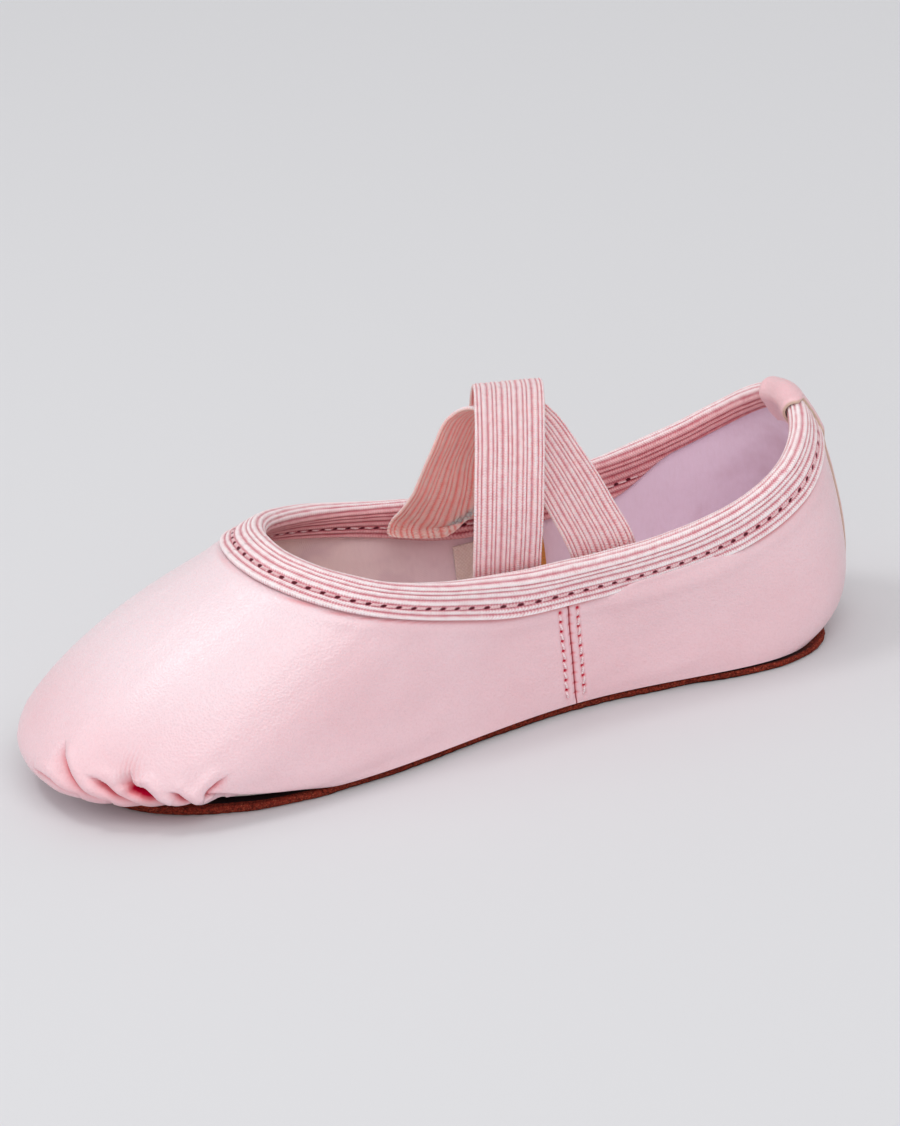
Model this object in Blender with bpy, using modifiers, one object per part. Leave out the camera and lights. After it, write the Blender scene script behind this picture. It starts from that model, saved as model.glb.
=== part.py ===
"""Child's leather ballet slipper with a full suede sole and crossed instep elastics.

The upper is a vamp and two quarters wrapped round a shoe last.  The last is a smooth
B-spline loft through four outlines (feather line, widest girth, shoulder, topline), so
every layer - leather, cotton lining, folded elastic binding, tapes and threads - is an
offset of one surface.  Toe points to -X, heel to +X, +Z up, sole flat on Z = 0.
All design sizes are in millimetres and are converted to metres when a mesh is made.
"""
import math

import bmesh
import bpy
from mathutils import Quaternion, Vector

MM = 0.001

# Layer thicknesses and gaps
SOLE_THICKNESS = 1.6
INSOLE_THICKNESS = 1.6
LEATHER = 1.0
LINING = 0.6
ELASTIC = 1.1
TAPE = 0.6
GAP = 0.3
THREAD_RADIUS = 0.3

# Half outlines of the last from toe to heel; the other side is the mirror image.
# Stations: toe, toe corner, toe side, ball, arch front, side seam, heel front, heel corner, heel
FEATHER_HEIGHT = 2.0
FEATHER = [(-80, 0), (-76, 16), (-60, 30), (-36, 34), (-8, 27), (22, 19), (49, 22), (77, 25), (87, 0)]
GIRTH = [(-97, 0, 11), (-95, 21, 12), (-74, 36, 12), (-44, 36, 11), (-11, 27, 13),
         (22, 19.5, 16), (51, 23.5, 18), (85.5, 25, 20), (96.2, 0, 22)]
TOPLINE = [(-37, 0, 47), (-34, 14, 46), (-22, 24, 42), (-8, 26, 39), (5, 25, 37),
           (17, 25, 36), (48, 25, 36), (78, 22.5, 46), (85, 0, 59)]
SHOULDER_REACH = [0.42, 0.36, 0.45, 0.50, 0.50, 0.50, 0.50, 0.45, 0.30]
SHOULDER_RISE = [0.70, 0.58, 0.50, 0.50, 0.60, 0.68, 0.68, 0.64, 0.70]
TUCK_REACH = 0.85
TUCK_RISE = 0.25

# Moves the last along X so that the whole slipper is centred on the origin
CENTRE_SHIFT = 0.48

# Surface grid: around the shoe (toe centre is 0, heel centre is 8) and up the side
AROUND = 16
STEP_AROUND = 0.25
SIDE_SEAM = 5.0
HEEL_SEAM = 8.0
SEAM_GAP = 0.006
HEIGHTS = [0.0, 0.45, 0.85, 1.2, 1.55, 1.95, 2.5, 3.1, 3.6, 4.0]

# Folded elastic binding
BINDING_DEPTH = 10.0
BEAD_DROP = 2.4
BINDING_ROWS = [10.0, 7.5, 5.0, BEAD_DROP]
BEAD_ARC = [30, 60, 90, 120, 150]
STITCH_DROP = 7.0

# Outsole and insole outlines are the feather line moved out or in
SOLE_MARGIN = [3.5, 3.5, 0.8, -1.2, -1.4, -1.0, -0.8, 1.0, 2.4]   # beyond the feather line, toe to heel
INSOLE_MARGIN = 2.4

# Back strip that ends in the heel tab
STRIP_HALF_WIDTH = 6.5
TAB_HALF_WIDTH = 8.0
TAB_DROP_INSIDE = 12.0
STRIP_START = 0.75

# Side seams
SEAM_ROW_OFFSET = 2.0
SEAM_TAPE_WIDTH = 20.0

# Crossed instep elastics
STRAP_WIDTH = 15.0
COLLAR_LEVEL = 35.5           # height of the line a strap turns about
# Centre line of each strap from the near side to the far side, and its turn about that line in degrees
OVER_PATH = [(9.9, -17.0, 26.0, 0), (9.7, -19.3, 35.5, -3), (10.9, -19.9, 46.6, -5), (13.4, -16.4, 56.6, -2),
             (16.9, -9.2, 64.7, 3), (20.4, 0.0, 67.8, 6), (22.9, 9.2, 65.0, 7), (24.2, 16.4, 57.2, 6),
             (24.3, 19.8, 46.7, 5), (23.9, 19.3, 35.5, 3), (23.6, 17.0, 26.0, 0)]
UNDER_PATH = [(32.9, -16.0, 26.0, 0), (32.2, -17.2, 34.5, 5), (29.7, -13.2, 43.0, 10), (26.3, -9.4, 52.0, 14),
              (22.7, -4.8, 60.0, 14), (18.7, 0.8, 63.8, 8), (14.7, 6.2, 60.5, -3), (11.4, 10.2, 52.0, -8),
              (8.0, 13.6, 42.5, -6), (3.8, 17.2, 33.5, -2), (3.0, 16.6, 29.0, 0)]
SEWN_POINTS = (1, 9)          # places of the collar stitching in each path

COLLECTION = "ballet_slipper"


# ---------------------------------------------------------------- the last

def spline_weights(t):
    """Weights of four neighbouring control points of a uniform cubic B-spline."""
    return ((1 - t) ** 3 / 6,
            (3 * t ** 3 - 6 * t ** 2 + 4) / 6,
            (-3 * t ** 3 + 3 * t ** 2 + 3 * t + 1) / 6,
            t ** 3 / 6)


def full_loop(half):
    """Mirror a half outline into a closed loop: out along -Y, back along +Y."""
    near = [Vector((x + CENTRE_SHIFT, -y, z)) for x, y, z in half]
    far = [Vector((x + CENTRE_SHIFT, y, z)) for x, y, z in reversed(half[1:-1])]
    return near + far


def last_rows():
    """Control loops of the last from the sole up to the topline."""
    feather = [Vector((x, y, FEATHER_HEIGHT)) for x, y in FEATHER]
    girth = [Vector(p) for p in GIRTH]
    top = [Vector(p) for p in TOPLINE]
    tuck, shoulder = [], []
    for low, wide, high, reach, rise in zip(feather, girth, top, SHOULDER_REACH, SHOULDER_RISE):
        across = low.lerp(wide, TUCK_REACH)
        tuck.append(Vector((across.x, across.y, low.z + (wide.z - low.z) * TUCK_RISE)))
        across = wide.lerp(high, reach)
        shoulder.append(Vector((across.x, across.y, wide.z + (high.z - wide.z) * rise)))
    rows = [full_loop(r) for r in (feather, tuck, girth, shoulder, top)]
    first = [a * 2 - b for a, b in zip(rows[0], rows[1])]
    final = [a * 2 - b for a, b in zip(rows[-1], rows[-2])]
    return [first] + rows + [final]


ROWS = last_rows()


def last_point(u, v):
    """Point of the outer leather surface; u goes round the shoe, v from 0 (sole) to 4 (topline)."""
    i = math.floor(u)
    j = min(int(v), 3)
    across, up = spline_weights(u - i), spline_weights(v - j)
    point = Vector((0, 0, 0))
    for row in range(4):
        for k in range(4):
            point += ROWS[j + row][(i + k - 1) % AROUND] * (up[row] * across[k])
    return point


def last_frame(u, v):
    """Point, outward normal and upward tangent of the last."""
    e = 0.01
    low, high = max(v - e, 0), min(v + e, 4)
    up = (last_point(u, high) - last_point(u, low)).normalized()
    along = last_point(u + e, v) - last_point(u - e, v)
    normal = along.cross(up).normalized()
    return last_point(u, v), normal, up


def below_topline(u, drop):
    """Height value v of the point that lies drop millimetres below the topline."""
    v, travelled, here, step = 4.0, 0.0, last_point(u, 4.0), 0.02
    while travelled < drop and v > step:
        nxt = last_point(u, v - step)
        travelled += (nxt - here).length
        here, v = nxt, v - step
    return v


def around(start, end, step=STEP_AROUND):
    """Stations round the shoe on the common grid, with the two ends moved in by the seam gap."""
    count = round((end - start) / step)
    stations = [start + i * step for i in range(count + 1)]
    stations[0] += SEAM_GAP
    stations[-1] -= SEAM_GAP
    return stations


# ---------------------------------------------------------------- Blender helpers

def clear_scene():
    for obj in list(bpy.data.objects):
        bpy.data.objects.remove(obj, do_unlink=True)


def make_material(name, color, roughness):
    material = bpy.data.materials.new(name)
    material.use_nodes = True
    shader = material.node_tree.nodes["Principled BSDF"]
    shader.inputs["Base Color"].default_value = (*color, 1.0)
    shader.inputs["Roughness"].default_value = roughness
    shader.inputs["Metallic"].default_value = 0.0
    return material


def link(obj, material):
    bpy.data.collections[COLLECTION].objects.link(obj)
    obj.data.materials.append(material)
    return obj


def grid_object(name, rows, material, thickness, offset, closed=False):
    """Open surface through rows of points, thickened by Solidify.

    offset is -1 when the surface is the outer face, 1 when it is the inner face and 0 in the middle.
    """
    bm = bmesh.new()
    verts = [[bm.verts.new(p * MM) for p in row] for row in rows]
    columns = len(rows[0])
    for lower, upper in zip(verts, verts[1:]):
        for k in range(columns if closed else columns - 1):
            n = (k + 1) % columns
            bm.faces.new((lower[k], lower[n], upper[n], upper[k]))
    mesh = bpy.data.meshes.new(name)
    bm.to_mesh(mesh)
    bm.free()
    obj = link(bpy.data.objects.new(name, mesh), material)
    solid = obj.modifiers.new("thickness", "SOLIDIFY")
    solid.thickness = thickness * MM
    solid.offset = offset
    mesh.shade_smooth()
    mesh.set_sharp_from_angle(angle=math.radians(50))
    return obj


def flat_piece(name, outline, thickness, base, material):
    """Flat closed outline with the given thickness standing on height base."""
    curve = bpy.data.curves.new(name, "CURVE")
    curve.dimensions = "2D"
    curve.fill_mode = "BOTH"
    curve.extrude = thickness / 2 * MM
    spline = curve.splines.new("POLY")
    spline.points.add(len(outline) - 1)
    for point, spot in zip(spline.points, outline):
        point.co = (spot.x * MM, spot.y * MM, 0, 1)
    spline.use_cyclic_u = True
    obj = link(bpy.data.objects.new(name, curve), material)
    obj.location = (0, 0, (base + thickness / 2) * MM)
    return obj


def thread(name, points, material):
    """Sewing thread along a row of stitches."""
    curve = bpy.data.curves.new(name, "CURVE")
    curve.dimensions = "3D"
    curve.bevel_depth = THREAD_RADIUS * MM
    curve.bevel_resolution = 1
    curve.use_fill_caps = True
    spline = curve.splines.new("POLY")
    spline.points.add(len(points) - 1)
    for point, spot in zip(spline.points, points):
        point.co = (*(spot * MM), 1)
    return link(bpy.data.objects.new(name, curve), material)


# ---------------------------------------------------------------- pieces

def feather_outline(margins):
    """Feather line moved outwards (or inwards when negative) in plan by a margin for each station."""
    margins = margins + margins[-2:0:-1]
    outline = []
    for k in range(AROUND * 4):
        spot, before, after = (last_point(u, 0) for u in (k / 4, k / 4 - 0.01, k / 4 + 0.01))
        along = (after - before).normalized()
        start, share = k // 4, k % 4 / 4
        margin = margins[start] * (1 - share) + margins[(start + 1) % AROUND] * share
        outline.append(spot + Vector((along.y, -along.x, 0)) * margin)
    return outline


def upper_piece(name, start, end, depth, thickness, material):
    """Leather or lining panel: its outer face lies depth millimetres inside the last."""
    rows = []
    stations = around(start, end)
    tops = [below_topline(u, BEAD_DROP) for u in stations]
    for height in HEIGHTS:
        frames = [last_frame(u, top * height / 4) for u, top in zip(stations, tops)]
        rows.append([spot - normal * depth for spot, normal, _ in frames])
    return grid_object(name, rows, material, thickness, -1)


def bead_frame(u, outside, inside):
    """Centre and half thickness of the rounded top edge between two offsets of the last."""
    spot, normal, up = last_frame(u, below_topline(u, BEAD_DROP))
    return spot + normal * (outside + inside) / 2, normal, up, (outside - inside) / 2


def wrap_rows(stations, outside, inside, drops_outside, drops_inside):
    """Rows of points that run up the outside, over the topline and down the inside."""
    columns = []
    for u in stations:
        column = []
        for drop in drops_outside:
            spot, normal, _ = last_frame(u, below_topline(u, drop))
            column.append(spot + normal * outside)
        centre, normal, up, radius = bead_frame(u, outside, inside)
        for degrees in BEAD_ARC:
            angle = math.radians(degrees)
            column.append(centre + (normal * math.cos(angle) + up * math.sin(angle)) * radius)
        for drop in drops_inside:
            spot, normal, _ = last_frame(u, below_topline(u, drop))
            column.append(spot + normal * inside)
        columns.append(column)
    return [list(row) for row in zip(*columns)]


def collar_binding(material):
    """Ribbed elastic folded over the edge of leather and lining, all the way round."""
    outside = GAP
    inside = -(LEATHER + GAP + LINING + GAP)
    stations = [k * STEP_AROUND for k in range(round(AROUND / STEP_AROUND))]
    rows = wrap_rows(stations, outside, inside, BINDING_ROWS, BINDING_ROWS[::-1])
    return grid_object("collar_binding", rows, material, ELASTIC, 1, closed=True)


def back_strip(material):
    """Leather strip up the back seam that folds over the binding as the heel tab."""
    over_binding = GAP + ELASTIC + GAP
    inside = -(LEATHER + GAP + LINING + GAP + ELASTIC + GAP)
    columns = []
    shares = [-1, -0.5, 0, 0.5, 1]
    top_v = below_topline(HEEL_SEAM, BINDING_DEPTH + 2.5)
    for share in shares:
        column = []
        for k in range(8):
            v = STRIP_START + (top_v - STRIP_START) * k / 7
            spread = STRIP_HALF_WIDTH + (TAB_HALF_WIDTH - STRIP_HALF_WIDTH) * (k / 7) ** 2
            spot, normal, _ = last_frame(heel_station(v, share * spread), v)
            column.append(spot + normal * GAP)
        u = heel_station(4.0, share * TAB_HALF_WIDTH)
        for drop in (BINDING_DEPTH + 0.6, 7.5, 5.0, BEAD_DROP):
            spot, normal, _ = last_frame(u, below_topline(u, drop))
            column.append(spot + normal * over_binding)
        centre, normal, up, radius = bead_frame(u, over_binding, inside)
        for degrees in BEAD_ARC:
            angle = math.radians(degrees)
            column.append(centre + (normal * math.cos(angle) + up * math.sin(angle)) * radius)
        for drop in (BEAD_DROP, 5.0, 8.5, TAB_DROP_INSIDE):
            spot, normal, _ = last_frame(u, below_topline(u, drop))
            column.append(spot + normal * inside)
        columns.append(column)
    rows = [list(row) for row in zip(*columns)]
    return grid_object("back_strip", rows, material, LEATHER, 1)


def heel_station(v, distance):
    """Station u that lies distance millimetres round from the back seam at height v."""
    speed = (last_point(HEEL_SEAM + 0.1, v) - last_point(HEEL_SEAM, v)).length / 0.1
    return HEEL_SEAM + distance / speed


def seam_tape(name, seam, material):
    """Cotton tape over the side seam, inside the lining and below the binding."""
    depth = LEATHER + GAP + LINING + GAP
    rows = []
    for k in range(8):
        columns = []
        for across in (-1, -0.5, 0, 0.5, 1):
            top_v = below_topline(seam, BINDING_DEPTH + 0.8)
            v = 0.7 + (top_v - 0.7) * k / 7
            speed = (last_point(seam + 0.1, v) - last_point(seam, v)).length / 0.1
            spot, normal, _ = last_frame(seam + across * SEAM_TAPE_WIDTH / 2 / speed, v)
            columns.append(spot - normal * depth)
        rows.append(columns)
    return grid_object(name, rows, material, TAPE, -1)


def seam_thread(name, seam, side, material):
    """One row of stitches beside a side seam, from the sole to the binding."""
    points = []
    top_v = below_topline(seam, BINDING_DEPTH + 1.0)
    for k in range(13):
        v = 0.35 + (top_v - 0.35) * k / 12
        speed = (last_point(seam + 0.1, v) - last_point(seam, v)).length / 0.1
        spot, normal, _ = last_frame(seam + side * SEAM_ROW_OFFSET / speed, v)
        points.append(spot + normal * (GAP + THREAD_RADIUS))
    return thread(name, points, material)


def collar_thread(material):
    """The row of stitches that holds the binding, from one edge of the heel tab to the other."""
    points = []
    first = heel_station(4.0, TAB_HALF_WIDTH + 1.2)
    last = 2 * HEEL_SEAM - first + AROUND
    count = 84
    for k in range(count + 1):
        u = first + (last - first) * k / count
        spot, normal, _ = last_frame(u, below_topline(u, STITCH_DROP))
        points.append(spot + normal * (GAP + ELASTIC + GAP + THREAD_RADIUS))
    return thread("collar_stitching", points, material)


def smooth_path(points, steps):
    """Catmull-Rom curve through the points."""
    ends = [points[0] * 2 - points[1]] + points + [points[-1] * 2 - points[-2]]
    path = []
    for a, b, c, d in zip(ends, ends[1:], ends[2:], ends[3:]):
        for k in range(steps):
            t = k / steps
            path.append((b * 2 + (c - a) * t + (a * 2 - b * 5 + c * 4 - d) * t * t
                         + (b * 3 - a - c * 3 + d) * t ** 3) * 0.5)
    return path + [points[-1]]


def strap(name, path, material):
    """Flat elastic from one side of the collar over the instep to the other side."""
    spots = smooth_path([Vector(spot) for spot in path], 3)
    rows = []
    for before, spot, after in zip(spots[:1] + spots, spots, spots[1:] + spots[-1:]):
        along = (after - before).to_3d().normalized()
        level = (Vector((1, 0, 0)) - along * along.x).normalized()
        across = Quaternion(along, math.radians(spot.w)) @ level
        rows.append([spot.to_3d() + across * STRAP_WIDTH * share for share in (-0.5, -0.17, 0.17, 0.5)])
    obj = grid_object(name, rows, material, ELASTIC, 0)
    near, far = (Vector(path[k][:2]) for k in SEWN_POINTS)
    pivot = bpy.data.objects.new(name + "_axis", None)
    bpy.data.collections[COLLECTION].objects.link(pivot)
    pivot.location = ((near.x + far.x) / 2 * MM, 0, COLLAR_LEVEL * MM)
    pivot.rotation_euler = (0, 0, math.atan2(far.y - near.y, far.x - near.x))
    bpy.context.view_layer.update()
    obj.parent = pivot
    obj.matrix_parent_inverse = pivot.matrix_world.inverted()
    return obj


def build():
    clear_scene()
    bpy.context.scene.collection.children.link(bpy.data.collections.new(COLLECTION))
    suede = make_material("brown_suede", (0.09, 0.035, 0.03), 0.95)
    sock = make_material("sock_cotton", (0.74, 0.66, 0.63), 0.9)
    leather = make_material("pink_leather", (0.80, 0.56, 0.55), 0.42)
    strip_leather = make_material("strip_leather", (0.80, 0.55, 0.54), 0.45)
    cotton = make_material("lining_cotton", (0.76, 0.68, 0.68), 0.9)
    elastic = make_material("ribbed_elastic", (0.80, 0.54, 0.53), 0.7)
    tape = make_material("cream_tape", (0.78, 0.68, 0.56), 0.85)
    cotton_thread = make_material("pink_thread", (0.74, 0.47, 0.47), 0.6)

    flat_piece("outsole", feather_outline(SOLE_MARGIN), SOLE_THICKNESS, 0, suede)
    flat_piece("insole", feather_outline([-INSOLE_MARGIN] * 9), INSOLE_THICKNESS,
               SOLE_THICKNESS + GAP + 0.2, sock)

    panels = [("vamp", -SIDE_SEAM, SIDE_SEAM),
              ("quarter_left", SIDE_SEAM, HEEL_SEAM),
              ("quarter_right", HEEL_SEAM, AROUND - SIDE_SEAM)]
    for name, start, end in panels:
        upper_piece(name, start, end, 0, LEATHER, leather)
        upper_piece(name.replace("quarter", "quarter_lining").replace("vamp", "vamp_lining"),
                    start, end, LEATHER + GAP, LINING, cotton)

    collar_binding(elastic)
    back_strip(strip_leather)
    collar_thread(cotton_thread)
    for side, seam in (("left", SIDE_SEAM), ("right", AROUND - SIDE_SEAM)):
        seam_tape("side_seam_tape_" + side, seam, tape)
        toward_toe = -1 if side == "left" else 1
        seam_thread("side_seam_stitching_%s_front" % side, seam, toward_toe, cotton_thread)
        seam_thread("side_seam_stitching_%s_rear" % side, seam, -toward_toe, cotton_thread)

    strap("strap_over", OVER_PATH, elastic)
    strap("strap_under", UNDER_PATH, elastic)


build()
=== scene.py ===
import math

import bmesh
import bpy
import numpy as np
from mathutils import Matrix, Vector


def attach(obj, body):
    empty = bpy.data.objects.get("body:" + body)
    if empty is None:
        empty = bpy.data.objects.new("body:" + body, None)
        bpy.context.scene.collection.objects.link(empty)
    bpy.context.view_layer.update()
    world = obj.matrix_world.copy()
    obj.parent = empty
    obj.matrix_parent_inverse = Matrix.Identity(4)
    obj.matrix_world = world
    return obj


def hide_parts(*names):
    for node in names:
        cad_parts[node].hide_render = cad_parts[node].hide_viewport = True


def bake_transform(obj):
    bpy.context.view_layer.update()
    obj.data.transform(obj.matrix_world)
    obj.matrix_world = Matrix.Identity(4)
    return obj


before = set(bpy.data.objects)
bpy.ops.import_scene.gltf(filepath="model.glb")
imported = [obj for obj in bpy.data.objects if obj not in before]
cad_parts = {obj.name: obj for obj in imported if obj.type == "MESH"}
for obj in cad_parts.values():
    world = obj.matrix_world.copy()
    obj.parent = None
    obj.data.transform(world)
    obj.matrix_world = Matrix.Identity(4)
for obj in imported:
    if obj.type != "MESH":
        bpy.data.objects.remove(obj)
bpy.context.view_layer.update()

MM = 0.001
RNG = np.random.default_rng(11)

# ------ sizes shared with the CAD, in mm
LEATHER, LINING, ELASTIC, TAPE, GAP = 1.0, 0.6, 1.1, 0.6, 0.3
SOLE_THICKNESS = 1.6
BINDING_DEPTH = 10.0
BEAD_DROP = 2.4
STITCH_DROP = 7.0
STITCH_PITCH = 3.0
SIDE_SEAM, HEEL_SEAM, AROUND = 5.0, 8.0, 16
SEAM_GAP = 0.004
CENTRE_SHIFT = 0.48
FEATHER_HEIGHT = 2.0
FEATHER = [(-80, 0), (-76, 16), (-60, 30), (-36, 34), (-8, 27), (22, 19), (49, 22), (77, 25), (87, 0)]
GIRTH = [(-97, 0, 11), (-95, 21, 12), (-74, 36, 12), (-44, 36, 11), (-11, 27, 13),
         (22, 19.5, 16), (51, 23.5, 18), (85.5, 25, 20), (96.2, 0, 22)]
TOPLINE = [(-37, 0, 47), (-34, 14, 46), (-22, 24, 42), (-8, 26, 39), (5, 25, 37),
           (17, 25, 36), (48, 25, 36), (78, 22.5, 46), (85, 0, 59)]
SHOULDER_REACH = [0.42, 0.36, 0.45, 0.50, 0.50, 0.50, 0.50, 0.45, 0.30]
SHOULDER_RISE = [0.70, 0.58, 0.50, 0.50, 0.60, 0.68, 0.68, 0.64, 0.70]
TUCK_REACH, TUCK_RISE = 0.85, 0.25
STRAP_WIDTH = 15.0
OVER_PATH = [(9.9, -17.0, 26.0, 0), (9.7, -19.3, 35.5, -3), (10.9, -19.9, 46.6, -5), (13.4, -16.4, 56.6, -2),
             (16.9, -9.2, 64.7, 3), (20.4, 0.0, 67.8, 6), (22.9, 9.2, 65.0, 7), (24.2, 16.4, 57.2, 6),
             (24.3, 19.8, 46.7, 5), (23.9, 19.3, 35.5, 3), (23.6, 17.0, 26.0, 0)]
UNDER_PATH = [(32.9, -16.0, 26.0, 0), (32.2, -17.2, 34.5, 5), (29.7, -13.2, 43.0, 10), (26.3, -9.4, 52.0, 14),
              (22.7, -4.8, 60.0, 14), (18.7, 0.8, 63.8, 8), (14.7, 6.2, 60.5, -3), (11.4, 10.2, 52.0, -8),
              (8.0, 13.6, 42.5, -6), (3.8, 17.2, 33.5, -2), (3.0, 16.6, 29.0, 0)]
SOLE_MARGIN = [3.5, 3.5, 0.8, -1.2, -1.4, -1.0, -0.8, 1.0, 2.4]
STRIP_HALF_WIDTH, TAB_HALF_WIDTH = 6.5, 8.0
TAB_DROP_INSIDE = 12.0
STRIP_START = 0.75
SEAM_TAPE_WIDTH = 20.0

# ------ the last


def weights(t):
    """Weights of four neighbouring control points of a uniform cubic B-spline."""
    return np.stack([(1 - t) ** 3, 3 * t ** 3 - 6 * t ** 2 + 4,
                     -3 * t ** 3 + 3 * t ** 2 + 3 * t + 1, t ** 3], -1) / 6


def last_rows():
    """Rows of control points round the last, from below the feather line to above the topline."""
    low = np.array([(x, y, FEATHER_HEIGHT) for x, y in FEATHER], float)
    wide, high = np.array(GIRTH, float), np.array(TOPLINE, float)
    tuck = low + (wide - low) * (TUCK_REACH, TUCK_REACH, TUCK_RISE)
    shoulder = wide + (high - wide) * np.stack([SHOULDER_REACH, SHOULDER_REACH, SHOULDER_RISE], -1)
    rows = []
    for half in (low, tuck, wide, shoulder, high):
        near = half * (1, -1, 1)
        rows.append(np.vstack([near, half[-2:0:-1]]) + (CENTRE_SHIFT, 0, 0))
    rows = [2 * rows[0] - rows[1]] + rows + [2 * rows[-1] - rows[-2]]
    return np.array(rows)


ROWS = last_rows()


def matched(u, v):
    """Both as arrays of one shape."""
    return np.broadcast_arrays(np.asarray(u, float), np.asarray(v, float))


def last(u, v):
    """Point of the last at station u (0 toe, 4 near side, 8 heel) and height v (0 sole, 4 topline)."""
    u, v = matched(u, v)
    i = np.floor(u).astype(int)
    j = np.clip(np.floor(v).astype(int), 0, 3)
    wu, wv = weights(u - i), weights(v - j)
    out = np.zeros(u.shape + (3,))
    for a in range(4):
        for b in range(4):
            out += ROWS[j + a, (i + b - 1) % AROUND] * (wv[..., a] * wu[..., b])[..., None]
    return out


def unit(a):
    return a / np.maximum(np.linalg.norm(a, axis=-1, keepdims=True), 1e-9)


def last_frame(u, v):
    """Point, outward normal, upward and rearward directions."""
    e = 0.01
    u, v = matched(u, v)
    up = unit(last(u, np.minimum(v + e, 4)) - last(u, np.maximum(v - e, 0)))
    along = unit(last(u + e, v) - last(u - e, v))
    return last(u, v), unit(np.cross(along, up)), up, along


def run_along(path):
    """Length along a path at each of its points."""
    return np.concatenate([[0], np.cumsum(np.linalg.norm(np.diff(path, axis=0), axis=1))])


# distance below the topline, as a table for every station round the shoe
TABLE_U = np.arange(0, AROUND, 1 / 32)
TABLE_V = np.linspace(4, 0, 401)
DROP = np.array([run_along(last(station, TABLE_V)) for station in TABLE_U])
DROP_STEPS = np.linspace(0, 24, 241)
V_AT_DROP = np.array([np.interp(DROP_STEPS, row, TABLE_V) for row in DROP])


def birgb(table, x, y):
    i, j = np.floor(x).astype(int), np.clip(np.floor(y).astype(int), 0, table.shape[1] - 2)
    fx, fy = x - i, y - j
    a, b = table[i % len(table), j], table[i % len(table), j + 1]
    c, d = table[(i + 1) % len(table), j], table[(i + 1) % len(table), j + 1]
    return (a * (1 - fy) + b * fy) * (1 - fx) + (c * (1 - fy) + d * fy) * fx


def below_topline(u, drop):
    """Height v of the point that lies this far below the topline, in mm."""
    u, drop = matched(u, drop)
    return birgb(V_AT_DROP, u * 32, drop * 10)


def drop_of(u, v):
    """Distance of a point below the topline, in mm."""
    u, v = matched(u, v)
    return birgb(DROP, u * 32, (4 - v) * 100)


RING_U = np.append(TABLE_U, AROUND)
RING_LENGTH = run_along(last(RING_U, 4.0))
COLLAR_LENGTH = RING_LENGTH[-1]


def round_the_shoe(x, table_x, table_y):
    """Value from a table that goes once round the shoe."""
    turns = np.floor(np.asarray(x, float) / table_x[-1])
    return np.interp(x - turns * table_x[-1], table_x, table_y) + turns * table_y[-1]


def station_at(length):
    """Station at a length along the topline."""
    return round_the_shoe(length, RING_LENGTH, RING_U)


def length_at(u):
    """Length along the topline at a station."""
    return round_the_shoe(u, RING_U, RING_LENGTH)


def from_toe(u):
    """Station counted from the toe, positive round the near side and negative round the far side."""
    return (u + 8) % 16 - 8


def speed(u, v):
    """Millimetres per unit of u."""
    return np.linalg.norm(last(u + 0.02, v) - last(u - 0.02, v), axis=-1) / 0.04


def out_from(point, direction, distance):
    """Points moved along their directions."""
    return point + direction * np.asarray(distance)[..., None]


def bump(x, centre, width):
    return np.exp(-((x - centre) / width) ** 2)


def smooth(x, a, b):
    t = np.clip((x - a) / (b - a), 0, 1)
    return t * t * (3 - 2 * t)


def to_nearest(length, pitch):
    """Distance from the nearest of a row of marks with this pitch."""
    phase = (length / pitch) % 1
    return np.minimum(phase, 1 - phase) * pitch


# ------ leather relief
# Creases of the pleated toe, near side: (station, height) points from the upper end down, depth and
# width in mm, and which side lies underneath (1 toward the toe, -1 toward the heel)
DEEPEST = 4.2
CREASES = [
    ([(0.17, 1.80), (0.25, 1.56), (0.42, 1.60), (0.60, 1.58), (0.78, 1.44), (0.98, 1.30),
      (1.02, 0.3)], 1.0, 2.0, 1),
    ([(0.58, 2.20), (0.72, 2.04), (0.84, 1.93), (0.92, 1.84), (1.03, 1.70), (1.13, 1.54), (1.23, 1.38),
      (1.33, 1.24), (1.36, 0.3)], 2.5, 2.6, 1),
    ([(1.08, 1.90), (1.23, 1.86), (1.34, 1.78), (1.43, 1.62), (1.50, 1.44), (1.57, 1.22),
      (1.60, 0.3)], 2.4, 2.5, 1),
    ([(1.50, 2.04), (1.57, 1.86), (1.62, 1.77), (1.70, 1.72), (1.76, 1.58), (1.80, 1.38), (1.84, 1.20),
      (1.86, 0.3)], DEEPEST, 2.8, 1),
    ([(1.88, 1.64), (1.93, 1.61), (1.98, 1.55), (2.02, 1.38), (2.05, 1.15), (2.06, 0.3)], 2.9, 1.7, 1),
    ([(2.37, 1.88), (2.29, 1.72), (2.24, 1.56), (2.20, 1.40), (2.16, 1.10), (2.12, 0.3)], 2.0, 1.9, -1),
]


def far_creases():
    """The far side is gathered the same way, not quite alike."""
    rng = np.random.default_rng(5)
    out = []
    for points, depth, width, under in CREASES[1:]:
        shift, drop = rng.uniform(0.25, 0.40), rng.uniform(0.20, 0.35)
        moved = [(-(u + shift), v - drop * (v > 0.5)) for u, v in points]
        out.append((moved, depth * rng.uniform(0.75, 1.1), width, under))
    return out


def beside_path(points, spot, normal):
    """How far each spot is from a crease, on which side, and how far down the crease it lies, in mm."""
    points = np.array(points)
    path = last(points[:, 0], points[:, 1])
    starts = run_along(path)
    best, x, run = np.full(len(spot), 1e9), np.zeros(len(spot)), np.zeros(len(spot))
    for k in range(len(path) - 1):
        length = starts[k + 1] - starts[k]
        d = (path[k + 1] - path[k]) / length
        r = spot - path[k]
        t = np.clip(r @ d, 0, length)
        off = r - t[:, None] * d
        distance = np.linalg.norm(off, axis=1)
        side = np.sign((np.cross(d, off) * normal).sum(1))
        closer = distance < best
        best = np.where(closer, distance, best)
        x = np.where(closer, side * distance, x)
        run = np.where(closer, starts[k] + t, run)
    return best, x, run, starts[-1]


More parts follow.
